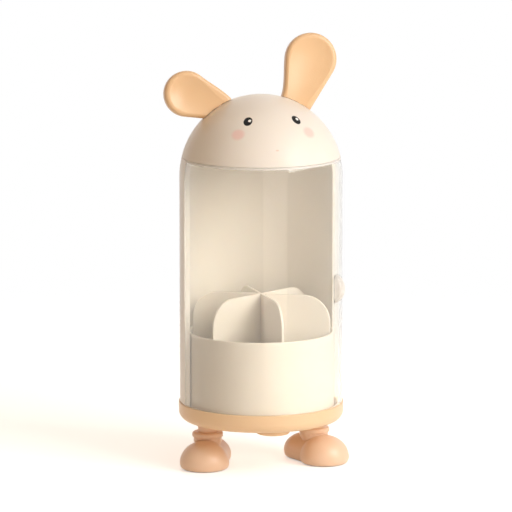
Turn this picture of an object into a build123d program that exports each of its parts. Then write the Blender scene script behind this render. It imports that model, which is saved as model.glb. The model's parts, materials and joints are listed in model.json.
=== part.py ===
from build123d import *
import os
from math import asin, cos, degrees, radians, sin, sqrt

# A free-standing rotating brush holder shaped like a round-headed animal. Millimetres.
# Z is the turning axis, the table is z = 0 and the front faces -Y. The pieces are drawn
# about the turning axis, and saved with the origin midway across the whole object.
os.makedirs("parts", exist_ok=True)

# Body
body_radius = 65.0  # outside of the clear door and of the domed head
leg_height = 36.4  # table to the underside of the base
base_height = 14.6
body_height = 182.0  # top of the base to the equator of the head
rim_rise = 15.7  # equator to the lower rim of the head

# Clearances
running_gap = 0.3  # between pieces that slide past each other
pin_gap = 0.08  # radial, round a turning pin
seat_gap = 0.2  # round a piece that drops into its seat
end_play = 0.2  # under a washer that keeps a turning piece on

# Base
base_lip = 1.0  # the base stands this far outside the door
base_floor = 4.0
base_edge_round = 7.0
base_top_round = 0.6
boss_radius = 13.5  # round boss under the front of the base
boss_inset = 22.0  # outside of the body to the middle of the boss
boss_drop = 3.9
boss_round = 1.6

# Clear door
door_wall = 2.4
door_right_edge = 95.0  # from the front towards the viewer's right
tongue_width = 1.1  # the door runs on thin tongues in the base and the head
tongue_height = 2.2
bead_height = 0.8  # the door thickens inward under its upper tongue
pull_angle = 54.0  # finger pull, from the front towards the viewer's right
pull_height = 24.0
pull_proud = 6.5
pull_width = 9.0
pull_level = 95.0  # middle of the pull above the base
pull_round = 2.4

# Rear shell
door_to_shell = 1.2
shell_wall = 2.0
window_left_edge = 82.0  # edges of the shell, from the front
window_right_edge = 90.0
shoulder_height = 14.2  # the shell draws in under the head over this height
flange_thickness = 2.5
foot_flange_width = 8.4
top_flange_width = 10.3
rib_angle = 30.0  # broad rib on the left edge, flush with the door, which stops it both ways

# Head
head_wall = 2.5
track_lip = 1.6  # walls outside and inside the head's track
track_inner_lip = 2.1
shell_to_track = 0.5
screw_boss_radius = 4.2
screw_boss_height = 12.0
screw_boss_sink = 0.6  # a boss runs this far into the wall of the track

# Ears: the root is alike on both, and the paddles differ
ear_angle = 30.5  # peg, from straight up
ear_tilt = 9.7  # both ears lean back
ear_root_spread = 11.6  # middle to each end of the root, about the middle of the head
ear_root_sink = 2.5  # the root is drawn this far into the head, and then cut to it
ear_root_flare = 18.0  # the inner side leaves the head this far off square
ear_thickness = 10.0
ear_edge_round = 3.0
ear_rim = 3.8
ear_dish = 2.4  # depth of the hollow in the paddle
ear_root_dish = 0.6  # and where it runs out at the root
ear_gap = 0.4
right_ear_root = 27.8  # middle of the root, from straight up
right_ear_lean = 25.6  # middle of the paddle, from straight up
right_ear_reach = 36.6  # middle of the paddle, from the surface of the head
right_ear_radius = 20.8
left_ear_root = ear_angle
left_ear_lean = 41.1
left_ear_reach = 23.5
left_ear_radius = 18.2
peg_radius = 4.0
peg_pad_radius = 8.0
peg_pad_height = 3.5
ear_washer_radius = 7.0

# Turning cup and its ball ring
cup_to_shell = 1.0
cup_wall = 2.0
cup_floor = 2.4
cup_rise = 57.6  # rim of the cup above the base
cup_foot_round = 3.0
cup_rim_round = 0.8
hub_radius = 10.0
hub_height = 13.4
spindle_radius = 6.0
spindle_washer_radius = 9.0
ball_radius = 2.5
ball_sink = 0.6  # depth of a ball in each race
ball_gap = 0.3
ball_count = 12
race_radius = 35.0
cage_width = 8.0
cage_thickness = 2.0

# Divider star
blade_count = 6
blade_thickness = 2.0
blade_rise = 29.4  # top of the blades above the rim of the cup
blade_corner = 21.0
blade_edge_round = 0.6
blade_gap = 0.3  # blades to the wall of the cup
blade_turn = 5.0  # first blade, from the front towards the viewer's right
sleeve_wall = 2.0
sleeve_roof = 1.6

# Legs and shoes
ankle_inset = 21.2  # outside of the body to the middle of a leg
splay = 22.0  # toes turn outward
leg_top_radius = 10.8
neck_radius = 7.75
leg_flare = 7.4  # height of the flare under the base
collar_radius = 11.3
collar_height = 8.0
lip_proud = 1.2  # rounded lip round the top of the collar
lip_height = 4.0
lip_round = 1.8
lip_under_round = 0.9
collar_seat = 19.2  # collar's underside above the table
spigot_radius = 6.0
spigot_length = 9.0
toe_reach = 14.5
toe_radius = 19.8
toe_flat = 18.0
toe_waist = 5.0
toe_top = 22.4
heel_reach = 13.5
heel_radius = 16.6
heel_flat = 14.6
heel_waist = 6.0
heel_top = 19.8
round_pull = 0.55  # bow of the shoe's curves, near a quarter of an ellipse
pad_thickness = 1.6
pad_proud = 0.8
pad_inset = 0.8
key_radius = 1.5
key_reach = 6.2
key_height = 2.4

# Screws and washers
screw_radius = 1.25
screw_pilot_gap = 0.05
screw_hole_gap = 0.35
screw_head_radius = 2.8
screw_head_height = 2.0
screw_head_taper = 15.0
screw_slot_width = 0.8
screw_slot_length = 3.2
screw_slot_depth = 1.0
flat_head_radius = 2.6
washer_thickness = 1.0
leg_screw_length = 9.0
shoe_screw_length = 12.0
shell_screw_length = 5.6
head_screw_length = 10.0
ear_screw_length = 8.0
spindle_screw_length = 12.0

# Levels above the table
base_z = leg_height
neck_level = base_z - leg_flare
base_top = base_z + base_height
floor_top = base_z + base_floor
equator_z = base_top + body_height
rim_z = equator_z + rim_rise
ball_z = floor_top + ball_radius - ball_sink
cup_bottom = ball_z + ball_radius - ball_sink
cup_floor_top = cup_bottom + cup_floor
cup_rim = base_top + cup_rise
hub_top = cup_bottom + hub_height
spindle_top = hub_top + end_play
blade_top = cup_rim + blade_rise
door_bottom = base_top + running_gap
door_top = rim_z - running_gap

# Radii, from the outside in
base_radius = body_radius + base_lip
door_inner = body_radius - door_wall
shell_outer = door_inner - door_to_shell
shell_inner = shell_outer - shell_wall
cup_radius = shell_inner - cup_to_shell
cup_inner = cup_radius - cup_wall
recess_radius = shell_outer + seat_gap
foot_tongue_outer = body_radius - (door_wall - tongue_width) / 2
foot_tongue_inner = foot_tongue_outer - tongue_width
rim_radius = sqrt(body_radius**2 - rim_rise**2)
head_groove_outer = rim_radius - track_lip
head_groove_inner = head_groove_outer - tongue_width - 2 * running_gap
head_hollow = head_groove_inner - track_inner_lip
head_inner = body_radius - head_wall
shell_top_outer = head_groove_inner - shell_to_track
shell_top_inner = shell_top_outer - shell_wall
foot_flange_inner = shell_outer - foot_flange_width
top_flange_inner = shell_top_outer - top_flange_width
shell_screw_circle = (foot_flange_inner + shell_inner) / 2
head_screw_circle = head_hollow - screw_boss_radius + screw_boss_sink
door_top_radius = sqrt(body_radius**2 - (door_top - equator_z) ** 2)
screw_pilot = screw_radius + screw_pilot_gap
screw_hole = screw_radius + screw_hole_gap

# Places that several pieces share
front = -90.0  # angle of the front, from +X about Z
stop_gap = degrees(running_gap / body_radius)
door_angle = door_right_edge + window_left_edge - stop_gap
shell_angle = 360 - window_left_edge - window_right_edge
head_middle = Vector(0, 0, equator_z)
boss_reach = body_radius - boss_inset
ankle_spread = body_radius - ankle_inset
shell_screw_angles = [25.0, 68.0, 112.0, 155.0]
head_screw_angles = [35.0, 90.0, 145.0]
left_extent = (body_radius + left_ear_reach) * sin(radians(left_ear_lean)) + left_ear_radius
right_extent = ankle_spread + toe_reach * sin(radians(splay)) + toe_radius
axis_shift = (left_extent - right_extent) / 2
left_ankle = Vector(-ankle_spread, 0, 0)
right_ankle = Vector(ankle_spread, 0, 0)


def radial_plane(angle):
    """Upright plane through the turning axis: x runs outward at the angle, y runs up."""
    turn = radians(angle)
    outward = (cos(turn), sin(turn), 0)
    return Plane(origin=(0, 0, 0), x_dir=outward, z_dir=(sin(turn), -cos(turn), 0))


def round_point(radius, angle, level):
    """Point at a radius and an angle about the turning axis."""
    return Vector(radius * cos(radians(angle)), radius * sin(radians(angle)), level)


def facing_up(point):
    """Level plane that faces up."""
    return Plane(origin=point, x_dir=(1, 0, 0), z_dir=(0, 0, 1))


def facing_down(point):
    """Level plane that faces down."""
    return Plane(origin=point, x_dir=(1, 0, 0), z_dir=(0, 0, -1))


def pan_screw(seat, length):
    """Pan-head self-tapping screw, whose head stands on the seat plane and faces its way."""
    with BuildPart() as screw:
        with BuildSketch(seat):
            Circle(screw_head_radius)
        extrude(amount=screw_head_height, taper=screw_head_taper)
        with BuildSketch(seat):
            Circle(screw_radius)
        extrude(amount=-length)
        with BuildSketch(seat.offset(screw_head_height)):
            Rectangle(screw_slot_length, screw_slot_width)
            Rectangle(screw_slot_width, screw_slot_length)
        extrude(amount=-screw_slot_depth, mode=Mode.SUBTRACT)
    return screw.part


def flat_screw(face, length):
    """Countersunk self-tapping screw, whose head is flush with the face plane."""
    with BuildPart() as screw:
        with BuildSketch(face):
            Circle(flat_head_radius)
        extrude(amount=screw_radius - flat_head_radius, taper=45)
        with BuildSketch(face):
            Circle(screw_radius)
        extrude(amount=-length)
        with BuildSketch(face):
            Rectangle(screw_slot_length, screw_slot_width)
            Rectangle(screw_slot_width, screw_slot_length)
        extrude(amount=-screw_slot_depth, mode=Mode.SUBTRACT)
    return screw.part


def save(piece, name):
    """Moves a finished piece from the turning axis to the object's origin, and writes it."""
    moved = piece.part.moved(Location((axis_shift, 0, 0)))
    moved.label = name
    export_step(moved, f"parts/{name}.step")


# Base: a pan that holds the turntable, with the door's lower track in its top
with BuildPart() as base_pan:
    with BuildSketch(Plane.XY.offset(base_z)):
        Circle(base_radius)
    extrude(amount=base_height)
    fillet(base_pan.edges().sort_by(Axis.Z)[0], radius=base_edge_round)
    fillet(base_pan.edges().sort_by(Axis.Z)[-1], radius=base_top_round)
    with BuildSketch(Plane.XY.offset(floor_top)):
        Circle(recess_radius)
    extrude(amount=base_top - floor_top, mode=Mode.SUBTRACT)
    with BuildSketch(Plane.XY.offset(base_top)):
        Circle(foot_tongue_outer + running_gap)
        Circle(foot_tongue_inner - running_gap, mode=Mode.SUBTRACT)
    extrude(amount=-tongue_height, mode=Mode.SUBTRACT)
    with Locations((0, 0, ball_z)):
        Torus(race_radius, ball_radius + ball_gap, mode=Mode.SUBTRACT)
    with BuildSketch(Plane.XY.offset(floor_top)):
        Circle(spindle_radius)
    extrude(amount=spindle_top - floor_top)
    with Locations((0, 0, spindle_top)):
        Hole(screw_pilot, depth=spindle_screw_length)
    with BuildSketch(Plane.XY.offset(base_z)):
        with Locations((0, -boss_reach)):
            Circle(boss_radius)
    extrude(amount=-boss_drop)
    fillet(base_pan.edges().sort_by(Axis.Z)[0], radius=boss_round)
    for ankle in (left_ankle, right_ankle):
        with Locations(ankle + Vector(0, 0, floor_top)):
            CounterBoreHole(
                radius=screw_hole,
                counter_bore_radius=screw_head_radius + seat_gap,
                counter_bore_depth=screw_head_height + seat_gap,
                depth=base_floor,
            )
        with BuildSketch(facing_up(ankle + Vector(0, 0, base_z))):
            with PolarLocations(key_reach, 2, start_angle=front):
                Circle(key_radius + screw_pilot_gap)
        extrude(amount=key_height + seat_gap, mode=Mode.SUBTRACT)
    for angle in shell_screw_angles:
        with Locations(round_point(shell_screw_circle, angle, floor_top)):
            Hole(screw_pilot, depth=shell_screw_length - flange_thickness + seat_gap)
save(base_pan, "base_pan")

# Left leg: flared top, neck and collar, with a spigot for the shoe and two keys for the base
with BuildPart() as leg_collar:
    with BuildSketch(facing_up(left_ankle + Vector(0, 0, collar_seat))):
        Circle(collar_radius)
    extrude(amount=collar_height)
    with BuildSketch(facing_up(left_ankle + Vector(0, 0, collar_seat + collar_height))):
        Circle(collar_radius + lip_proud)
    extrude(amount=-lip_height)
    lip_edges = leg_collar.edges().filter_by(GeomType.CIRCLE).group_by(SortBy.RADIUS)[-1]
    fillet(lip_edges.sort_by(Axis.Z)[-1], radius=lip_round)
    lip_edges = leg_collar.edges().filter_by(GeomType.CIRCLE).group_by(SortBy.RADIUS)[-1]
    fillet(lip_edges.sort_by(Axis.Z)[0], radius=lip_under_round)

with BuildPart() as left_leg:
    spigot_end = collar_seat - spigot_length
    with BuildSketch(Plane(origin=left_ankle, x_dir=(1, 0, 0), z_dir=(0, -1, 0))):
        with BuildLine():
            flare = TangentArc(
                (neck_radius, neck_level), (leg_top_radius, base_z), tangent=(0, 1)
            )
            Polyline(
                flare @ 1,
                (0, base_z),
                (0, spigot_end),
                (spigot_radius, spigot_end),
                (spigot_radius, collar_seat),
                (neck_radius, collar_seat),
                flare @ 0,
            )
        make_face()
    revolve(axis=Axis(left_ankle, (0, 0, 1)))
    add(leg_collar.part)
    with BuildSketch(facing_up(left_ankle + Vector(0, 0, base_z))):
        with PolarLocations(key_reach, 2, start_angle=front):
            Circle(key_radius)
    extrude(amount=key_height)
    with BuildSketch(facing_up(left_ankle + Vector(0, 0, base_z))):
        Circle(screw_pilot)
    extrude(amount=-leg_screw_length, mode=Mode.SUBTRACT)
    with BuildSketch(facing_up(left_ankle + Vector(0, 0, spigot_end))):
        Circle(screw_pilot)
    extrude(amount=spigot_length, mode=Mode.SUBTRACT)
save(left_leg, "left_leg")

with BuildPart() as right_leg:
    mirror(left_leg.part, about=Plane.YZ)
save(right_leg, "right_leg")

# Left shoe: a domed toe cap that stands out of a lower, narrower loaf for the heel
toe_way = Vector(-sin(radians(splay)), -cos(radians(splay)), 0)
toe_side = Vector(cos(radians(splay)), -sin(radians(splay)), 0)
toe_middle = left_ankle + toe_way * toe_reach
heel_middle = left_ankle - toe_way * heel_reach


def shoe_outline(half_width, flat, waist, top):
    """Half of an upright shoe section: flat sole, tucked-in lower edge and domed top."""
    tuck_pull = round_pull * (half_width - flat)
    side = waist - round_pull * (waist - pad_proud)
    shoulder = waist + round_pull * (top - waist)
    Line((0, pad_proud), (flat, pad_proud))
    Bezier((flat, pad_proud), (flat + tuck_pull, pad_proud), (half_width, side), (half_width, waist))
    Bezier((half_width, waist), (half_width, shoulder), (round_pull * half_width, top), (0, top))


def sole_outline(inset):
    """Outline of the flat sole, drawn in by an inset."""
    with Locations((toe_middle.X, toe_middle.Y)):
        Circle(toe_flat - inset)
    run_middle = (toe_middle + heel_middle) / 2
    with Locations((run_middle.X, run_middle.Y)):
        SlotCenterToCenter(heel_reach + toe_reach, 2 * (heel_flat - inset), rotation=90 - splay)


with BuildPart() as left_shoe:
    heel_plane = Plane(origin=heel_middle, x_dir=toe_side, z_dir=toe_way)
    with BuildSketch(heel_plane):
        with BuildLine():
            shoe_outline(heel_radius, heel_flat, heel_waist, heel_top)
            mirror(about=Plane.YZ)
        make_face()
    extrude(amount=heel_reach + toe_reach)
    with BuildSketch(heel_plane):
        with BuildLine():
            shoe_outline(heel_radius, heel_flat, heel_waist, heel_top)
            Line((0, heel_top), (0, pad_proud))
        make_face()
    revolve(axis=Axis(heel_middle, (0, 0, 1)), revolution_arc=180)
    toe_plane = Plane(origin=toe_middle, x_dir=toe_side, z_dir=toe_way)
    with BuildSketch(toe_plane):
        with BuildLine():
            shoe_outline(toe_radius, toe_flat, toe_waist, toe_top)
            Line((0, toe_top), (0, pad_proud))
        make_face()
    revolve(axis=Axis(toe_middle, (0, 0, 1)))
    with BuildSketch(facing_up(left_ankle + Vector(0, 0, toe_waist))):
        Circle(collar_radius - lip_under_round)
    extrude(amount=collar_seat - toe_waist)
    with BuildSketch(facing_up(left_ankle + Vector(0, 0, collar_seat))):
        Circle(collar_radius + running_gap)
    extrude(amount=toe_top, mode=Mode.SUBTRACT)
    with BuildSketch(facing_up(left_ankle + Vector(0, 0, collar_seat))):
        Circle(spigot_radius + screw_pilot_gap)
    extrude(amount=-spigot_length - seat_gap, mode=Mode.SUBTRACT)
    with BuildSketch(Plane.XY.offset(pad_proud)):
        sole_outline(pad_inset)
    extrude(amount=pad_thickness - pad_proud, mode=Mode.SUBTRACT)
    with BuildSketch(facing_up(left_ankle + Vector(0, 0, pad_thickness))):
        Circle(screw_head_radius + seat_gap)
    extrude(amount=screw_head_height + seat_gap, mode=Mode.SUBTRACT)
    with BuildSketch(facing_up(left_ankle + Vector(0, 0, pad_thickness))):
        Circle(screw_hole)
    extrude(amount=spigot_end - pad_thickness, mode=Mode.SUBTRACT)
save(left_shoe, "left_shoe")

with BuildPart() as right_shoe:
    mirror(left_shoe.part, about=Plane.YZ)
save(right_shoe, "right_shoe")

# Rubber pads set into the soles
with BuildPart() as left_sole_pad:
    with BuildSketch(Plane.XY):
        sole_outline(pad_inset + seat_gap)
    extrude(amount=pad_thickness)
save(left_sole_pad, "left_sole_pad")

with BuildPart() as right_sole_pad:
    mirror(left_sole_pad.part, about=Plane.YZ)
save(right_sole_pad, "right_sole_pad")

# Screws of the legs, down through the base, and of the shoes, up through the soles
with BuildPart() as leg_screws:
    for ankle in (left_ankle, right_ankle):
        seat_level = floor_top - screw_head_height - seat_gap
        seat = facing_up(ankle + Vector(0, 0, seat_level))
        add(pan_screw(seat, leg_screw_length))
save(leg_screws, "leg_screws")

with BuildPart() as shoe_screws:
    for ankle in (left_ankle, right_ankle):
        seat_level = pad_thickness + screw_head_height + seat_gap
        seat = facing_down(ankle + Vector(0, 0, seat_level))
        add(pan_screw(seat, shoe_screw_length))
save(shoe_screws, "shoe_screws")

# Rear shell: the opaque back of the body, with a foot flange, a top flange and a broad rib
# that stands flush with the closed door
with BuildPart() as rear_shell:
    shoulder_z = rim_z - flange_thickness - shoulder_height
    with BuildSketch(radial_plane(front + window_right_edge)):
        with BuildLine():
            outside = Line((shell_outer, floor_top), (shell_outer, shoulder_z))
            shoulder = TangentArc(
                outside @ 1, (shell_top_outer, rim_z - flange_thickness), tangent=(0, 1)
            )
            inside = Line(
                (shell_inner, floor_top + flange_thickness), (shell_inner, shoulder_z)
            )
            inner_shoulder = TangentArc(
                inside @ 1, (shell_top_inner, rim_z - flange_thickness), tangent=(0, 1)
            )
            Polyline(
                shoulder @ 1,
                (shell_top_outer, rim_z),
                (top_flange_inner, rim_z),
                (top_flange_inner, rim_z - flange_thickness),
                inner_shoulder @ 1,
            )
            Polyline(
                inside @ 0,
                (foot_flange_inner, floor_top + flange_thickness),
                (foot_flange_inner, floor_top),
                outside @ 0,
            )
        make_face()
    revolve(axis=Axis.Z, revolution_arc=shell_angle)
    with BuildSketch(radial_plane(front - window_left_edge - rib_angle)):
        with BuildLine():
            flush = Line((body_radius, door_bottom), (body_radius, equator_z))
            brow = TangentArc(flush @ 1, (door_top_radius, door_top), tangent=(0, 1))
            Polyline(
                brow @ 1,
                (shell_top_outer - shell_wall / 2, door_top),
                (shell_outer - shell_wall / 2, shoulder_z),
                (shell_outer - shell_wall / 2, door_bottom),
                flush @ 0,
            )
        make_face()
    revolve(axis=Axis.Z, revolution_arc=rib_angle)
    for angle in shell_screw_angles:
        with Locations(
            round_point(shell_screw_circle, angle, floor_top + flange_thickness)
        ):
            CounterSinkHole(
                radius=screw_hole,
                counter_sink_radius=flat_head_radius + screw_pilot_gap,
                depth=flange_thickness,
                counter_sink_angle=90,
            )
    for angle in head_screw_angles:
        with BuildSketch(facing_up(round_point(head_screw_circle, angle, rim_z))):
            Circle(screw_hole)
        extrude(amount=-flange_thickness, mode=Mode.SUBTRACT)
save(rear_shell, "rear_shell")

with BuildPart() as shell_screws:
    for angle in shell_screw_angles:
        level = floor_top + flange_thickness
        face = facing_up(round_point(shell_screw_circle, angle, level))
        add(flat_screw(face, shell_screw_length))
save(shell_screws, "shell_screws")

# Clear door: half a cylinder that turns into the head's sphere, on two thin tongues,
# with a half-moon finger pull moulded on its outside
with BuildPart() as door_pull:
    pull_root = body_radius - door_wall / 2
    pull_z = base_top + pull_level
    with BuildSketch(radial_plane(front + pull_angle)):
        with BuildLine():
            bow = ThreePointArc(
                (pull_root, pull_z - pull_height / 2),
                (body_radius + pull_proud, pull_z),
                (pull_root, pull_z + pull_height / 2),
            )
            Line(bow @ 1, bow @ 0)
        make_face()
    extrude(amount=pull_width / 2, both=True)
    fillet(door_pull.edges().filter_by(GeomType.CIRCLE), radius=pull_round)

with BuildPart() as clear_door:
    top_tongue_inner = head_groove_inner + running_gap
    top_tongue_outer = head_groove_outer - running_gap
    tongue_top = door_top + tongue_height
    bead_z = door_top - bead_height
    bead_foot_z = bead_z - bead_height
    bead_foot_radius = sqrt(door_inner**2 - (bead_foot_z - equator_z) ** 2)
    with BuildSketch(radial_plane(front + door_right_edge - door_angle)):
        with BuildLine():
            outside = Line((body_radius, door_bottom), (body_radius, equator_z))
            brow = TangentArc(outside @ 1, (door_top_radius, door_top), tangent=(0, 1))
            inside = Line((door_inner, door_bottom), (door_inner, equator_z))
            inner_brow = TangentArc(
                inside @ 1, (bead_foot_radius, bead_foot_z), tangent=(0, 1)
            )
            Polyline(
                brow @ 1,
                (top_tongue_outer, door_top),
                (top_tongue_outer, tongue_top),
                (top_tongue_inner, tongue_top),
                (top_tongue_inner, bead_z),
                inner_brow @ 1,
            )
            Polyline(
                inside @ 0,
                (foot_tongue_inner, door_bottom),
                (foot_tongue_inner, door_bottom - tongue_height),
                (foot_tongue_outer, door_bottom - tongue_height),
                (foot_tongue_outer, door_bottom),
                outside @ 0,
            )
        make_face()
    revolve(axis=Axis.Z, revolution_arc=door_angle)
    add(door_pull.part)
save(clear_door, "clear_door")

# Head: a domed shell with the door's upper track in its rim and pads for the ears inside
ear_way = Vector(0, sin(radians(ear_tilt)), cos(radians(ear_tilt)))
ear_face = Plane(origin=head_middle, x_dir=(1, 0, 0), z_dir=(0, -ear_way.Z, ear_way.Y))
ear_planes = {
    side: Plane(
        origin=head_middle,
        x_dir=ear_face.z_dir,
        z_dir=ear_way * cos(radians(ear_angle)) + Vector(side * sin(radians(ear_angle)), 0, 0),
    )
    for side in (-1, 1)
}
head_plane = Plane(origin=head_middle, x_dir=(1, 0, 0), z_dir=(0, -1, 0))
peg_pad_seat = head_inner - peg_pad_height
peg_end = peg_pad_seat - end_play

with BuildPart() as head:
    hollow_rise = sqrt(head_inner**2 - head_hollow**2)
    rim_angle = degrees(asin(rim_rise / body_radius))
    hollow_angle = degrees(asin(hollow_rise / head_inner))
    with BuildSketch(head_plane):
        with BuildLine():
            crown = CenterArc((0, 0), body_radius, rim_angle, 90 - rim_angle)
            vault = CenterArc((0, 0), head_inner, hollow_angle, 90 - hollow_angle)
            Line(crown @ 1, vault @ 1)
            Polyline(vault @ 0, (head_hollow, rim_rise), crown @ 0)
        make_face()
    revolve(axis=Axis.Z)
    with BuildSketch(Plane.XY.offset(rim_z)):
        Circle(head_groove_outer)
        Circle(head_groove_inner, mode=Mode.SUBTRACT)
    extrude(amount=tongue_height, mode=Mode.SUBTRACT)
    for angle in head_screw_angles:
        with BuildSketch(facing_up(round_point(head_screw_circle, angle, rim_z))):
            Circle(screw_boss_radius)
        extrude(amount=screw_boss_height)
        with BuildSketch(facing_up(round_point(head_screw_circle, angle, rim_z))):
            Circle(screw_pilot)
        extrude(amount=head_screw_length, mode=Mode.SUBTRACT)
    for ear_plane in ear_planes.values():
        with BuildSketch(ear_plane.offset(peg_pad_seat)):
            Circle(peg_pad_radius)
        extrude(amount=peg_pad_height + head_wall / 2)
        with BuildSketch(ear_plane.offset(peg_end)):
            Circle(peg_radius + pin_gap)
        extrude(amount=body_radius, mode=Mode.SUBTRACT)
save(head, "head")

with BuildPart() as head_screws:
    for angle in head_screw_angles:
        level = rim_z - flange_thickness
        seat = facing_down(round_point(head_screw_circle, angle, level))
        add(pan_screw(seat, head_screw_length))
save(head_screws, "head_screws")


# Ears: paddles with a rounded rim and a dished front, each turning on a round peg in the head
def ear_point(side, angle, reach):
    """Point in the ears' plane, at an angle from straight up about the middle of the head."""
    return Vector(side * reach * sin(radians(angle)), reach * cos(radians(angle)))


def touch_point(start, middle, radius, turn):
    """Point where a line from the start touches a circle, on the side that the turn's sign says."""
    way = middle - start
    half = asin(radius / way.length)
    return start + way.rotate(Axis.Z, turn * degrees(half)) * cos(half)


def make_dish(side, root, lean, reach, radius):
    """A flat barrel that lies along the ear, cuts its hollow and runs out at the root."""
    paddle = ear_point(side, lean, body_radius + reach)
    neck = paddle - ear_point(side, root, body_radius - ear_root_sink)
    half_width = radius - ear_rim
    barrel_radius = (half_width**2 + ear_dish**2) / (2 * ear_dish)
    barrel_height = barrel_radius - ear_dish
    along = ear_face.from_local_coords(neck.normalized()) - head_middle
    centre = ear_face.from_local_coords(paddle) + ear_face.z_dir * (
        ear_thickness / 2 + barrel_height
    )
    deepest = Vector(0, barrel_radius)
    tip = Vector(half_width, barrel_height)
    run_out = Vector(-neck.length, barrel_height + ear_root_dish)
    with BuildPart() as dish:
        with BuildSketch(
            Plane(origin=centre, x_dir=along, z_dir=ear_face.z_dir.cross(along))
        ):
            with BuildLine():
                Spline(run_out, deepest, tangents=[(1, 0), (1, 0)])
                TangentArc(deepest, tip, tangent=(1, 0))
                Polyline(tip, (half_width, 0), (-neck.length, 0), run_out)
            make_face()
        revolve(axis=Axis(centre, along))
    return dish


def make_ear(side, root, lean, reach, radius):
    """An ear whose paddle leans by an angle, with its root cut to the head."""
    root_reach = body_radius - ear_root_sink
    paddle = ear_point(side, lean, body_radius + reach)
    inner_root = ear_point(side, root - ear_root_spread, root_reach)
    outer_root = ear_point(side, root + ear_root_spread, root_reach)
    inner_touch = touch_point(inner_root, paddle, radius, side)
    outer_touch = touch_point(outer_root, paddle, radius, -side)
    flare_way = ear_point(side, root - ear_root_spread + ear_root_flare, 1)
    dish = make_dish(side, root, lean, reach, radius)
    with BuildPart() as ear:
        with BuildSketch(ear_face):
            with BuildLine():
                Spline(inner_root, inner_touch, tangents=[flare_way, inner_touch - inner_root])
                tip = ear_point(side, lean, body_radius + reach + radius)
                ThreePointArc(inner_touch, tip, outer_touch)
                Polyline(outer_touch, outer_root, inner_root)
            make_face()
        extrude(amount=ear_thickness / 2, both=True)
        flat_faces = ear.faces().filter_by(Axis(head_middle, ear_face.z_dir))
        fillet(flat_faces.edges(), radius=ear_edge_round)
        add(dish.part, mode=Mode.SUBTRACT)
        with Locations(head_middle):
            Sphere(body_radius + ear_gap, mode=Mode.SUBTRACT)
        with BuildSketch(ear_planes[side].offset(peg_end)):
            Circle(peg_radius)
        extrude(amount=body_radius + peg_radius - peg_end)
        with BuildSketch(ear_planes[side].offset(peg_end)):
            Circle(screw_pilot)
        extrude(amount=ear_screw_length, mode=Mode.SUBTRACT)
    return ear


def make_ear_washer(side):
    """Washer that keeps an ear's peg in the head."""
    with BuildPart() as washer:
        with BuildSketch(ear_planes[side].offset(peg_end - washer_thickness)):
            Circle(ear_washer_radius)
            Circle(screw_hole, mode=Mode.SUBTRACT)
        extrude(amount=washer_thickness)
    return washer


def make_ear_screw(side):
    """Screw that holds the washer on the end of the peg."""
    inward = ear_planes[side].z_dir * -1
    place = head_middle - inward * (peg_end - washer_thickness)
    seat = Plane(origin=place, x_dir=ear_face.z_dir, z_dir=inward)
    with BuildPart() as screw:
        add(pan_screw(seat, ear_screw_length))
    return screw


left_ear = make_ear(-1, left_ear_root, left_ear_lean, left_ear_reach, left_ear_radius)
save(left_ear, "left_ear")
save(make_ear_washer(-1), "left_ear_washer")
save(make_ear_screw(-1), "left_ear_screw")
right_ear = make_ear(1, right_ear_root, right_ear_lean, right_ear_reach, right_ear_radius)
save(right_ear, "right_ear")
save(make_ear_washer(1), "right_ear_washer")
save(make_ear_screw(1), "right_ear_screw")

# Turning cup: thin wall, hub on the spindle and the upper ball race in its underside
with BuildPart() as brush_cup:
    with BuildSketch(Plane.XY.offset(cup_bottom)):
        Circle(cup_radius)
    extrude(amount=cup_rim - cup_bottom)
    fillet(brush_cup.edges().sort_by(Axis.Z)[0], radius=cup_foot_round)
    with BuildSketch(Plane.XY.offset(cup_floor_top)):
        Circle(cup_inner)
    extrude(amount=cup_rim - cup_floor_top, mode=Mode.SUBTRACT)
    fillet(brush_cup.faces().sort_by(Axis.Z)[-1].edges(), radius=cup_rim_round)
    with BuildSketch(Plane.XY.offset(cup_bottom)):
        Circle(hub_radius)
    extrude(amount=hub_height)
    with BuildSketch(Plane.XY.offset(cup_bottom)):
        Circle(spindle_radius + pin_gap)
    extrude(amount=hub_height, mode=Mode.SUBTRACT)
    with Locations((0, 0, ball_z)):
        Torus(race_radius, ball_radius + ball_gap, mode=Mode.SUBTRACT)
save(brush_cup, "brush_cup")

# Divider star: six blades with round shoulders on a sleeve that fits over the cup's hub
blade_radius = cup_inner - blade_gap
sleeve_inner = hub_radius + seat_gap
sleeve_roof_z = spindle_top + washer_thickness + screw_head_height + end_play

with BuildPart() as blade:
    with BuildSketch(radial_plane(front + blade_turn)):
        with BuildLine():
            upright = Line(
                (blade_radius, cup_floor_top), (blade_radius, blade_top - blade_corner)
            )
            shoulder = TangentArc(
                upright @ 1, (blade_radius - blade_corner, blade_top), tangent=(0, 1)
            )
            Polyline(shoulder @ 1, (0, blade_top), (0, cup_floor_top), upright @ 0)
        make_face()
    extrude(amount=blade_thickness / 2, both=True)
    outline = blade.faces().sort_by(SortBy.AREA)[-2:].edges()
    fillet(
        outline.filter_by_position(Axis.Z, cup_rim, blade_top),
        radius=blade_edge_round,
    )

with BuildPart() as divider_star:
    with PolarLocations(0, blade_count):
        add(blade.part)
    with BuildSketch(Plane.XY.offset(cup_floor_top)):
        Circle(sleeve_inner + sleeve_wall)
    extrude(amount=sleeve_roof_z + sleeve_roof - cup_floor_top)
    with BuildSketch(Plane.XY.offset(cup_floor_top)):
        Circle(sleeve_inner)
    extrude(amount=sleeve_roof_z - cup_floor_top, mode=Mode.SUBTRACT)
save(divider_star, "divider_star")

# Washer and screw that keep the cup on its spindle
with BuildPart() as spindle_washer:
    with BuildSketch(Plane.XY.offset(spindle_top)):
        Circle(spindle_washer_radius)
        Circle(screw_hole, mode=Mode.SUBTRACT)
    extrude(amount=washer_thickness)
save(spindle_washer, "spindle_washer")

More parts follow.
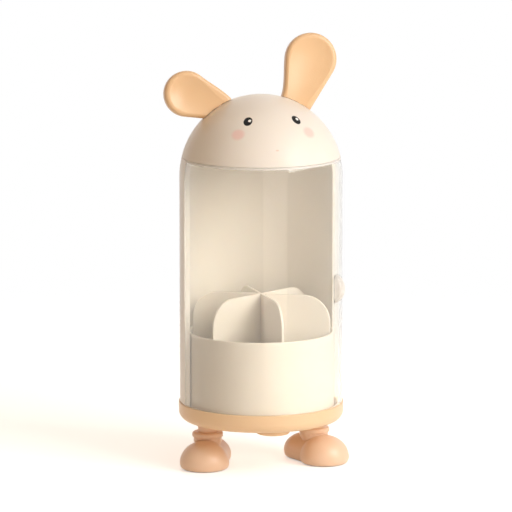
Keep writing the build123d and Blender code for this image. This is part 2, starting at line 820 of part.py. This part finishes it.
with BuildPart() as spindle_screw:
    seat = Plane.XY.offset(spindle_top + washer_thickness)
    add(pan_screw(seat, spindle_screw_length))
save(spindle_screw, "spindle_screw")

# Ball ring between the base and the cup
with BuildPart() as bearing_cage:
    with BuildSketch(Plane.XY.offset(ball_z - cage_thickness / 2)):
        Circle(race_radius + cage_width / 2)
        Circle(race_radius - cage_width / 2, mode=Mode.SUBTRACT)
        with PolarLocations(race_radius, ball_count):
            Circle(ball_radius + ball_gap, mode=Mode.SUBTRACT)
    extrude(amount=cage_thickness)
save(bearing_cage, "bearing_cage")

with BuildPart() as bearing_balls:
    with Locations((0, 0, ball_z)):
        with PolarLocations(race_radius, ball_count):
            Sphere(ball_radius)
save(bearing_balls, "bearing_balls")
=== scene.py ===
import bpy
import json
from math import cos, radians, sin
from mathutils import Matrix, Vector


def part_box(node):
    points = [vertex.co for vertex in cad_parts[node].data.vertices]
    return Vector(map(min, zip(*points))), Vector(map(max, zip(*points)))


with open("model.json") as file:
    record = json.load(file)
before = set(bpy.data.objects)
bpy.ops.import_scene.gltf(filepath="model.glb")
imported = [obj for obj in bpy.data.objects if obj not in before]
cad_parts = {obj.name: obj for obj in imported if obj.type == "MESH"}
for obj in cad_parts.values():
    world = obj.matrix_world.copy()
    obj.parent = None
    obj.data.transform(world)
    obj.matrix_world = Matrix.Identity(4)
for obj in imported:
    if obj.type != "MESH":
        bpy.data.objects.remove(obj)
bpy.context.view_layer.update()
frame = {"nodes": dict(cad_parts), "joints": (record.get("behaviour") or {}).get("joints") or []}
bpy.ops.object.select_all(action="DESELECT")

# Base: a round ABS moulding that carries everything, with the door's lower track in its rim.
# Peach masterbatch, and a fine spark-eroded grain from the mould that gives it a satin look.
# Screws from inside hold the two legs to its underside.


def linear(colour):
    """Turns an sRGB hex colour into linear red, green, blue and alpha."""
    parts = [int(colour[place : place + 2], 16) / 255 for place in (1, 3, 5)]
    return [p / 12.92 if p <= 0.04045 else ((p + 0.055) / 1.055) ** 2.4 for p in parts] + [1]


def add(tree, kind, inputs, **settings):
    """Adds a node with its settings, and fills its inputs with values or with other sockets."""
    made = tree.nodes.new(kind)
    for name, value in settings.items():
        setattr(made, name, value)
    for place, value in inputs.items():
        if isinstance(value, bpy.types.NodeSocket):
            tree.links.new(value, made.inputs[place])
        else:
            made.inputs[place].default_value = value
    return made


def new_material(name):
    """Starts a material and returns it with its empty node tree."""
    material = bpy.data.materials.new(name)
    material.use_nodes = True
    material.node_tree.nodes.clear()
    return material, material.node_tree


def finish(material, *nodes):
    """Puts a material on the slots of these pieces."""
    for name in nodes:
        for slot in frame["nodes"][name].material_slots:
            slot.material = material


def peach_satin(name, shade, light):
    """Satin peach ABS. Its grain is 1.2 mm, coarser than the real 0.2 mm so that it shows."""
    grain_width = 1.2
    grain_depth = 0.0002
    cloud_width = 55
    smoothest = 0.29
    roughest = 0.35
    material, tree = new_material(name)
    place = add(tree, "ShaderNodeTexCoord", {}).outputs["Object"]
    flow = add(
        tree,
        "ShaderNodeTexNoise",
        {"Vector": place, "Scale": 1000 / cloud_width, "Detail": 3.0},
    )
    grain = add(
        tree,
        "ShaderNodeTexNoise",
        {"Vector": place, "Scale": 1000 / grain_width, "Detail": 2.0},
    )
    tint = add(
        tree,
        "ShaderNodeMix",
        {0: flow.outputs["Fac"], 6: linear(shade), 7: linear(light)},
        data_type="RGBA",
    )
    gloss = add(
        tree,
        "ShaderNodeMapRange",
        {
            "Value": flow.outputs["Fac"],
            "From Min": 0.3,
            "From Max": 0.7,
            "To Min": smoothest,
            "To Max": roughest,
        },
    )
    relief = add(
        tree,
        "ShaderNodeBump",
        {"Height": grain.outputs["Fac"], "Strength": 0.12, "Distance": grain_depth},
    )
    shader = add(
        tree,
        "ShaderNodeBsdfPrincipled",
        {
            "Base Color": tint.outputs[2],
            "Roughness": gloss.outputs[0],
            "Normal": relief.outputs[0],
            "IOR": 1.53,
            "Subsurface Weight": 0.08,
            "Subsurface Radius": (1.0, 0.6, 0.35),
            "Subsurface Scale": 0.002,
        },
    )
    add(tree, "ShaderNodeOutputMaterial", {"Surface": shader.outputs[0]})
    return material


peach = peach_satin("peach ABS, moulded satin", "#F5D0A4", "#FADBB3")
finish(peach, "base_pan")

# Legs and shoes: four mouldings of the same satin ABS as the base, with a colour painted a little
# bluer and pinker than the base's, which stands in for the cooler light in their shade: a painted
# shade tint. Each leg flares into the base and stands in its shoe on a short spigot, with a collar
# that hides the joint.
peach_with_painted_shade_tint = peach_satin("peach ABS, moulded satin, painted shade tint", "#F5D0B0", "#FADBBF")
finish(peach_with_painted_shade_tint, "left_leg", "right_leg", "left_shoe", "right_shoe")

# Sole pads: pale thermoplastic rubber, moulded flat and pressed into a pocket under each shoe.
# Matt and a little dusty, with a fine non-slip stipple.
stipple_pitch = 1.6
stipple_depth = 0.0003
dust_width = 9
pad_rubber, tree = new_material("pale TPR rubber, moulded stipple")
place = add(tree, "ShaderNodeTexCoord", {}).outputs["Object"]
dust = add(tree, "ShaderNodeTexNoise", {"Vector": place, "Scale": 1000 / dust_width, "Detail": 4.0})
stipple = add(tree, "ShaderNodeTexVoronoi", {"Vector": place, "Scale": 1000 / stipple_pitch})
tint = add(
    tree,
    "ShaderNodeMix",
    {0: dust.outputs["Fac"], 6: linear("#CDC3B4"), 7: linear("#E2DACD")},
    data_type="RGBA",
)
relief = add(
    tree,
    "ShaderNodeBump",
    {"Height": stipple.outputs["Distance"], "Strength": 0.4, "Distance": stipple_depth},
    invert=True,
)
shader = add(
    tree,
    "ShaderNodeBsdfPrincipled",
    {"Base Color": tint.outputs[2], "Roughness": 0.78, "Normal": relief.outputs[0], "IOR": 1.51},
)
add(tree, "ShaderNodeOutputMaterial", {"Surface": shader.outputs[0]})
finish(pad_rubber, "left_sole_pad", "right_sole_pad")

# Ball ring: twelve polished steel balls loose in a white POM cage, in the race between the base
# and the cup. The balls carry a thin uneven film of grease, and the cage is a plain moulding.
film_width = 3
ball_steel, tree = new_material("bearing steel, polished")
place = add(tree, "ShaderNodeTexCoord", {}).outputs["Object"]
film = add(tree, "ShaderNodeTexNoise", {"Vector": place, "Scale": 1000 / film_width, "Detail": 2.0})
gloss = add(
    tree,
    "ShaderNodeMapRange",
    {"Value": film.outputs["Fac"], "To Min": 0.06, "To Max": 0.2},
)
tint = add(
    tree,
    "ShaderNodeMix",
    {0: film.outputs["Fac"], 6: linear("#C4C5C7"), 7: linear("#DADADB")},
    data_type="RGBA",
)
shader = add(
    tree,
    "ShaderNodeBsdfPrincipled",
    {"Base Color": tint.outputs[2], "Roughness": gloss.outputs[0], "Metallic": 1.0},
)
add(tree, "ShaderNodeOutputMaterial", {"Surface": shader.outputs[0]})
finish(ball_steel, "bearing_balls")

cage_cloud_width = 12
cage_white, tree = new_material("white POM, moulded")
place = add(tree, "ShaderNodeTexCoord", {}).outputs["Object"]
cloud = add(
    tree,
    "ShaderNodeTexNoise",
    {"Vector": place, "Scale": 1000 / cage_cloud_width, "Detail": 3.0},
)
tint = add(
    tree,
    "ShaderNodeMix",
    {0: cloud.outputs["Fac"], 6: linear("#E6E4DE"), 7: linear("#F1F0EC")},
    data_type="RGBA",
)
shader = add(
    tree,
    "ShaderNodeBsdfPrincipled",
    {"Base Color": tint.outputs[2], "Roughness": 0.42, "IOR": 1.48},
)
add(tree, "ShaderNodeOutputMaterial", {"Surface": shader.outputs[0]})
finish(cage_white, "bearing_cage")

# Screws and washers: zinc-plated steel, bought in. Thread-forming screws hold the legs, shoes,
# shell and head, and one with a washer keeps the cup and each ear on its pin.
zinc_streak = 0.5
zinc_steel, tree = new_material("steel, bright zinc plate")
place = add(tree, "ShaderNodeTexCoord", {}).outputs["Object"]
streak = add(
    tree,
    "ShaderNodeTexNoise",
    {"Vector": place, "Scale": 1000 / zinc_streak, "Detail": 3.0},
)
tint = add(
    tree,
    "ShaderNodeMix",
    {0: streak.outputs["Fac"], 6: linear("#9FA1A3"), 7: linear("#C6C8C9")},
    data_type="RGBA",
)
gloss = add(
    tree,
    "ShaderNodeMapRange",
    {"Value": streak.outputs["Fac"], "To Min": 0.28, "To Max": 0.44},
)
shader = add(
    tree,
    "ShaderNodeBsdfPrincipled",
    {"Base Color": tint.outputs[2], "Roughness": gloss.outputs[0], "Metallic": 1.0},
)
add(tree, "ShaderNodeOutputMaterial", {"Surface": shader.outputs[0]})
finish(zinc_steel, "leg_screws", "shoe_screws", "shell_screws", "head_screws", "spindle_screw")
finish(zinc_steel, "left_ear_screw", "right_ear_screw")
finish(zinc_steel, "spindle_washer", "left_ear_washer", "right_ear_washer")

# Rear shell, cup and dividers: cream ABS from polished moulds, so they are glossy, with the slow
# ripple that a polished moulding shows in its reflections. The shell screws to the base by its
# foot flange, the cup turns on the spindle and the dividers drop into the cup.
cream_shade = "#EFE8DE"
cream_light = "#F5F1E9"


def cream_gloss(name, shine):
    """Polished cream ABS: returns the material, its tree, its place, colour and shader."""
    cloud_width = 70
    ripple_width = 9
    ripple_depth = 0.0004
    smoothest = 0.29
    roughest = 0.36
    material, tree = new_material(name)
    place = add(tree, "ShaderNodeTexCoord", {}).outputs["Object"]
    flow = add(
        tree,
        "ShaderNodeTexNoise",
        {"Vector": place, "Scale": 1000 / cloud_width, "Detail": 3.0},
    )
    ripple = add(
        tree,
        "ShaderNodeTexNoise",
        {"Vector": place, "Scale": 1000 / ripple_width, "Detail": 1.0},
    )
    tint = add(
        tree,
        "ShaderNodeMix",
        {0: flow.outputs["Fac"], 6: linear(cream_shade), 7: linear(cream_light)},
        data_type="RGBA",
    )
    gloss = add(
        tree,
        "ShaderNodeMapRange",
        {
            "Value": flow.outputs["Fac"],
            "From Min": 0.3,
            "From Max": 0.7,
            "To Min": smoothest,
            "To Max": roughest,
        },
    )
    relief = add(
        tree,
        "ShaderNodeBump",
        {"Height": ripple.outputs["Fac"], "Strength": 0.05, "Distance": ripple_depth},
    )
    shader = add(
        tree,
        "ShaderNodeBsdfPrincipled",
        {
            "Base Color": tint.outputs[2],
            "Roughness": gloss.outputs[0],
            "Normal": relief.outputs[0],
            "IOR": 1.53,
            "Specular IOR Level": shine,
            "Subsurface Weight": 0.1,
            "Subsurface Radius": (1.0, 0.7, 0.4),
            "Subsurface Scale": 0.002,
        },
    )
    add(tree, "ShaderNodeOutputMaterial", {"Surface": shader.outputs[0]})
    return material, tree, place, tint.outputs[2], shader


cream = cream_gloss("cream ABS, polished", shine=0.5)[0]
finish(cream, "rear_shell", "brush_cup", "divider_star")

# Head: a domed cream moulding screwed to the shell's top flange, with the door's upper track
# inside its rim. The face is pad-printed on it: two black eyes with a white glint, two soft
# pink cheeks and a faint small nose. Its places are in degrees, and its sizes in millimetres.
ear_joint = next(joint for joint in frame["joints"] if joint["name"] == "left_ear_turn")
head_middle = Vector(ear_joint["pos_m"])
head_radius = 0.065
face_turn = 0.6
eye_turn = 27.3
eye_rise = 49.2
eye_size = (7.3, 9.2)
glint_size = (2.7, 3.0)
glint_shift = (1.3, 0.7)
cheek_turn = 33.8
cheek_rise = 37.7
cheek_size = (13.8, 12.6)
nose_rise = 26
nose_size = (3.2, 1.6)
print_black = "#080605"
print_white = "#FFFFFF"
print_pink = "#F9B4AE"
print_rose = "#DFA585"
head_cream, tree, place, colour, shader = cream_gloss("cream ABS, satin and printed", shine=0.2)


def print_spot(colour, ink, turn, rise, size, soft, cover, shift=(0, 0)):
    """Prints an oval on the dome: turn from the front, rise above its widest ring, sizes in mm."""
    print_depth = 0.006
    forward = Vector((sin(radians(turn)), -cos(radians(turn)), 0))
    east = Vector((cos(radians(turn)), sin(radians(turn)), 0))
    out = forward * cos(radians(rise)) + Vector((0, 0, sin(radians(rise))))
    up = out.cross(east)
    middle = head_middle + out * head_radius + (east * shift[0] + up * shift[1]) / 1000
    turned = Matrix((east, up, out)).transposed().to_euler()
    local = add(
        tree,
        "ShaderNodeMapping",
        {
            "Vector": place,
            "Location": middle,
            "Rotation": turned,
            "Scale": (size[0] / 2000, size[1] / 2000, print_depth),
        },
        vector_type="TEXTURE",
    )
    reach = add(tree, "ShaderNodeVectorMath", {0: local.outputs[0]}, operation="LENGTH")
    amount = add(
        tree,
        "ShaderNodeMapRange",
        {
            "Value": reach.outputs["Value"],
            "From Min": 1 - soft,
            "From Max": 1,
            "To Min": cover,
            "To Max": 0,
        },
        interpolation_type="SMOOTHSTEP",
    )
    return add(
        tree,
        "ShaderNodeMix",
        {0: amount.outputs[0], 6: colour, 7: linear(ink)},
        data_type="RGBA",
    ).outputs[2]


for side in (-1, 1):
    cheek = (side * cheek_turn + face_turn, cheek_rise)
    eye = (side * eye_turn + face_turn, eye_rise)
    colour = print_spot(colour, print_pink, *cheek, cheek_size, soft=0.55, cover=0.42)
    colour = print_spot(colour, print_black, *eye, eye_size, soft=0.06, cover=1)
    colour = print_spot(colour, print_white, *eye, glint_size, soft=0.2, cover=1, shift=glint_shift)
colour = print_spot(colour, print_rose, 0, nose_rise, nose_size, soft=0.4, cover=0.35)
tree.links.new(colour, shader.inputs["Base Color"])
finish(head_cream, "head")

# Ears: two peach paddles with a dished front, each on a round peg through the dome so that it
# can be turned by hand. Satin ABS like the base's, with its colour painted darker than the base's
# as painted shade on the ears.
peach_with_painted_shade = peach_satin("peach ABS, moulded satin, painted shade", "#E7BF91", "#EECA9E")
finish(peach_with_painted_shade, "left_ear", "right_ear")

# Door: clear polystyrene from a polished mould, half a cylinder that runs in the tracks of the
# base and the head, with its finger pull moulded on. Handling leaves faint smears on it.
door_tint = "#FCFAF5"
smear_width = 28
door_clear, tree = new_material("clear polystyrene, polished")
place = add(tree, "ShaderNodeTexCoord", {}).outputs["Object"]
smear = add(
    tree,
    "ShaderNodeTexNoise",
    {"Vector": place, "Scale": 1000 / smear_width, "Detail": 4.0},
)
gloss = add(
    tree,
    "ShaderNodeMapRange",
    {"Value": smear.outputs["Fac"], "From Min": 0.4, "From Max": 0.75, "To Min": 0.0, "To Max": 0.03},
)
# The mould leaves the pull and the two upright edges matt, so they look milky. The top band is
# made matt and milky too, and its pale line under the rim of the head is a painted highlight. The
# pull is the only part of the door that stands outside its wall, the top runs in the rim of the head,
# and the upright edges are at these angles from +X.
left_edge = -171.7
right_edge = 5.0
edge_width = 0.0008
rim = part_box("head")[0][2]
# Width of the milky top band, a painted highlight line under the rim of the head.
top_width = 0.0026
pull_start = head_radius + 0.0001
pull_full = head_radius + 0.0007
matt_roughness = 0.4
clear_share = 0.95
milky_share = 0.35
centred = add(
    tree,
    "ShaderNodeVectorMath",
    {0: place, 1: (head_middle.x, 0, 0)},
    operation="SUBTRACT",
)
flat = add(
    tree,
    "ShaderNodeVectorMath",
    {0: centred.outputs[0], 1: (1, 1, 0)},
    operation="MULTIPLY",
)
reach = add(tree, "ShaderNodeVectorMath", {0: flat.outputs[0]}, operation="LENGTH")
pull = add(
    tree,
    "ShaderNodeMapRange",
    {"Value": reach.outputs["Value"], "From Min": pull_start, "From Max": pull_full},
)
axes = add(tree, "ShaderNodeSeparateXYZ", {0: centred.outputs[0]})
turn = add(
    tree,
    "ShaderNodeMath",
    {0: axes.outputs["Y"], 1: axes.outputs["X"]},
    operation="ARCTAN2",
)
turn = add(
    tree,
    "ShaderNodeMath",
    {0: turn.outputs[0], 1: radians((left_edge + right_edge) / 2)},
    operation="SUBTRACT",
)
turn = add(tree, "ShaderNodeMath", {0: turn.outputs[0]}, operation="ABSOLUTE")
half_turn = radians((right_edge - left_edge) / 2)
edge = add(
    tree,
    "ShaderNodeMapRange",
    {
        "Value": turn.outputs[0],
        "From Min": half_turn - edge_width / head_radius,
        "From Max": half_turn - edge_width / head_radius / 2,
    },
)
# Milky top band: a painted highlight line under the rim of the head.
top = add(
    tree,
    "ShaderNodeMapRange",
    {"Value": axes.outputs["Z"], "From Min": rim - top_width, "From Max": rim - top_width / 2},
)
matt = add(tree, "ShaderNodeMath", {0: pull.outputs[0], 1: edge.outputs[0]}, operation="MAXIMUM")
matt = add(tree, "ShaderNodeMath", {0: matt.outputs[0], 1: top.outputs[0]}, operation="MAXIMUM")
gloss = add(
    tree,
    "ShaderNodeMath",
    {0: matt.outputs[0], 1: matt_roughness, 2: gloss.outputs[0]},
    operation="MULTIPLY_ADD",
)
clarity = add(
    tree,
    "ShaderNodeMapRange",
    {"Value": matt.outputs[0], "To Min": clear_share, "To Max": milky_share},
)
clear = add(
    tree,
    "ShaderNodeBsdfPrincipled",
    {
        "Base Color": linear(door_tint),
        "Roughness": gloss.outputs[0],
        "IOR": 1.49,
        "Transmission Weight": clarity.outputs[0],
    },
)
let_through = add(tree, "ShaderNodeBsdfTransparent", {"Color": linear(door_tint)})
ray = add(tree, "ShaderNodeLightPath", {})
shader = add(
    tree,
    "ShaderNodeMixShader",
    {0: ray.outputs["Is Shadow Ray"], 1: clear.outputs[0], 2: let_through.outputs[0]},
)
add(tree, "ShaderNodeOutputMaterial", {"Surface": shader.outputs[0]})
finish(door_clear, "clear_door")

# Studio: a plain white floor that takes the soft shadow, a white surround that gives a weak warm
# glow, a key lamp from the right front, soft lamps overhead and behind, and a weak fill in front.
# The floor fades into the surround some way out from the object.
floor_size = 16
floor_drop = 0.0002
fade_start = 0.25
fade_end = 0.8
floor_lift = 0.5
glow_strength = 0.31


def seen_rays(tree):
    """Gives 1 on rays to the eye, straight, mirrored or through the door, and 0 on lighting rays."""
    ray = add(tree, "ShaderNodeLightPath", {})
    seen = add(
        tree,
        "ShaderNodeMath",
        {0: ray.outputs["Is Camera Ray"], 1: ray.outputs["Is Glossy Ray"]},
        operation="MAXIMUM",
    )
    seen = add(
        tree,
        "ShaderNodeMath",
        {0: seen.outputs[0], 1: ray.outputs["Is Transmission Ray"]},
        operation="MAXIMUM",
    )
    direct = add(
        tree,
        "ShaderNodeMath",
        {0: ray.outputs["Diffuse Depth"], 1: 0.5},
        operation="LESS_THAN",
    )
    return add(
        tree,
        "ShaderNodeMath",
        {0: seen.outputs[0], 1: direct.outputs[0]},
        operation="MULTIPLY",
    ).outputs[0]


bpy.ops.mesh.primitive_plane_add(size=floor_size, location=(0, 0, -floor_drop))
floor = bpy.context.active_object
floor.name = "studio_floor"
floor_paper, tree = new_material("white paper floor")
seen = seen_rays(tree)
place = add(tree, "ShaderNodeTexCoord", {}).outputs["Object"]
away = add(tree, "ShaderNodeVectorMath", {0: place}, operation="LENGTH")
fade = add(
    tree,
    "ShaderNodeMapRange",
    {"Value": away.outputs["Value"], "From Min": fade_start, "From Max": fade_end},
    interpolation_type="SMOOTHSTEP",
)
gone = add(tree, "ShaderNodeMath", {0: fade.outputs[0], 1: seen}, operation="MULTIPLY")
bright = add(tree, "ShaderNodeMath", {0: seen, 1: floor_lift}, operation="MULTIPLY")
sheet = add(tree, "ShaderNodeBsdfDiffuse", {"Color": linear("#FBFBFA")})
lift = add(
    tree,
    "ShaderNodeEmission",
    {"Color": linear("#FFFFFF"), "Strength": bright.outputs[0]},
)
paper = add(tree, "ShaderNodeAddShader", {0: sheet.outputs[0], 1: lift.outputs[0]})
open_air = add(tree, "ShaderNodeBsdfTransparent", {})
mixed = add(
    tree,
    "ShaderNodeMixShader",
    {0: gone.outputs[0], 1: paper.outputs[0], 2: open_air.outputs[0]},
)
add(tree, "ShaderNodeOutputMaterial", {"Surface": mixed.outputs[0]})
floor.data.materials.append(floor_paper)

world = bpy.data.worlds.new("white studio")
bpy.context.scene.world = world
world.use_nodes = True
tree = world.node_tree
tree.nodes.clear()
seen = seen_rays(tree)
glow = add(
    tree,
    "ShaderNodeBackground",
    {"Color": linear("#FFD2A0"), "Strength": glow_strength},
)
white = add(tree, "ShaderNodeBackground", {"Color": linear("#FFFFFF"), "Strength": 1.0})
mixed = add(
    tree,
    "ShaderNodeMixShader",
    {0: seen, 1: glow.outputs[0], 2: white.outputs[0]},
)
add(tree, "ShaderNodeOutputWorld", {"Surface": mixed.outputs[0]})


def lamp(name, spot, aim, size, power, colour, mirrored):
    """Adds a square soft lamp aimed at this height of the object, which gloss mirrors or not."""
    light = bpy.data.lights.new(name, "AREA")
    light.size = size
    light.energy = power
    light.color = linear(colour)[:3]
    holder = bpy.data.objects.new(name, light)
    bpy.context.scene.collection.objects.link(holder)
    holder.visible_glossy = mirrored
    holder.location = spot
    towards = Vector((0, 0, aim)) - Vector(spot)
    holder.rotation_euler = towards.to_track_quat("-Z", "Y").to_euler()


lamp("key_lamp", (1.05, -1.15, 1.0), aim=0.15, size=1.0, power=19.5, colour="#FFFFFF", mirrored=True)
lamp("top_lamp", (0.3, -0.4, 1.7), aim=0.2, size=1.2, power=3.5, colour="#FFFFFF", mirrored=False)
lamp("rear_lamp", (0.3, 1.9, 0.9), aim=0.17, size=1.2, power=17, colour="#FFFBF5", mirrored=False)
lamp("fill_lamp", (0.3, -2.2, 0.3), aim=0.05, size=1.4, power=9.5, colour="#FFF8F0", mirrored=False)

# Camera: the photograph's view, from the front and a little to the left, slightly above.
# Angles are in degrees, distances in metres, and the lens and sensor in millimetres.
view_turn = -12.7
view_distance = 3.4
view_height = 0.757
aim_height = 0.168
aim_left = 0.004
lens = 304
sensor = 36
axis = Vector((head_middle.x, head_middle.y, 0))
towards = Vector((sin(radians(view_turn)), -cos(radians(view_turn)), 0))
across = Vector((cos(radians(view_turn)), sin(radians(view_turn)), 0))
camera = bpy.data.objects.new("photo_camera", bpy.data.cameras.new("photo_camera"))
bpy.context.scene.collection.objects.link(camera)
camera.data.sensor_width = sensor
camera.data.lens = lens
camera.location = axis + towards * view_distance + Vector((0, 0, view_height))
aim = axis - across * aim_left + Vector((0, 0, aim_height))
camera.rotation_euler = (aim - camera.location).to_track_quat("-Z", "Y").to_euler()
bpy.context.scene.camera = camera
bpy.context.scene.view_settings.view_transform = "Standard"
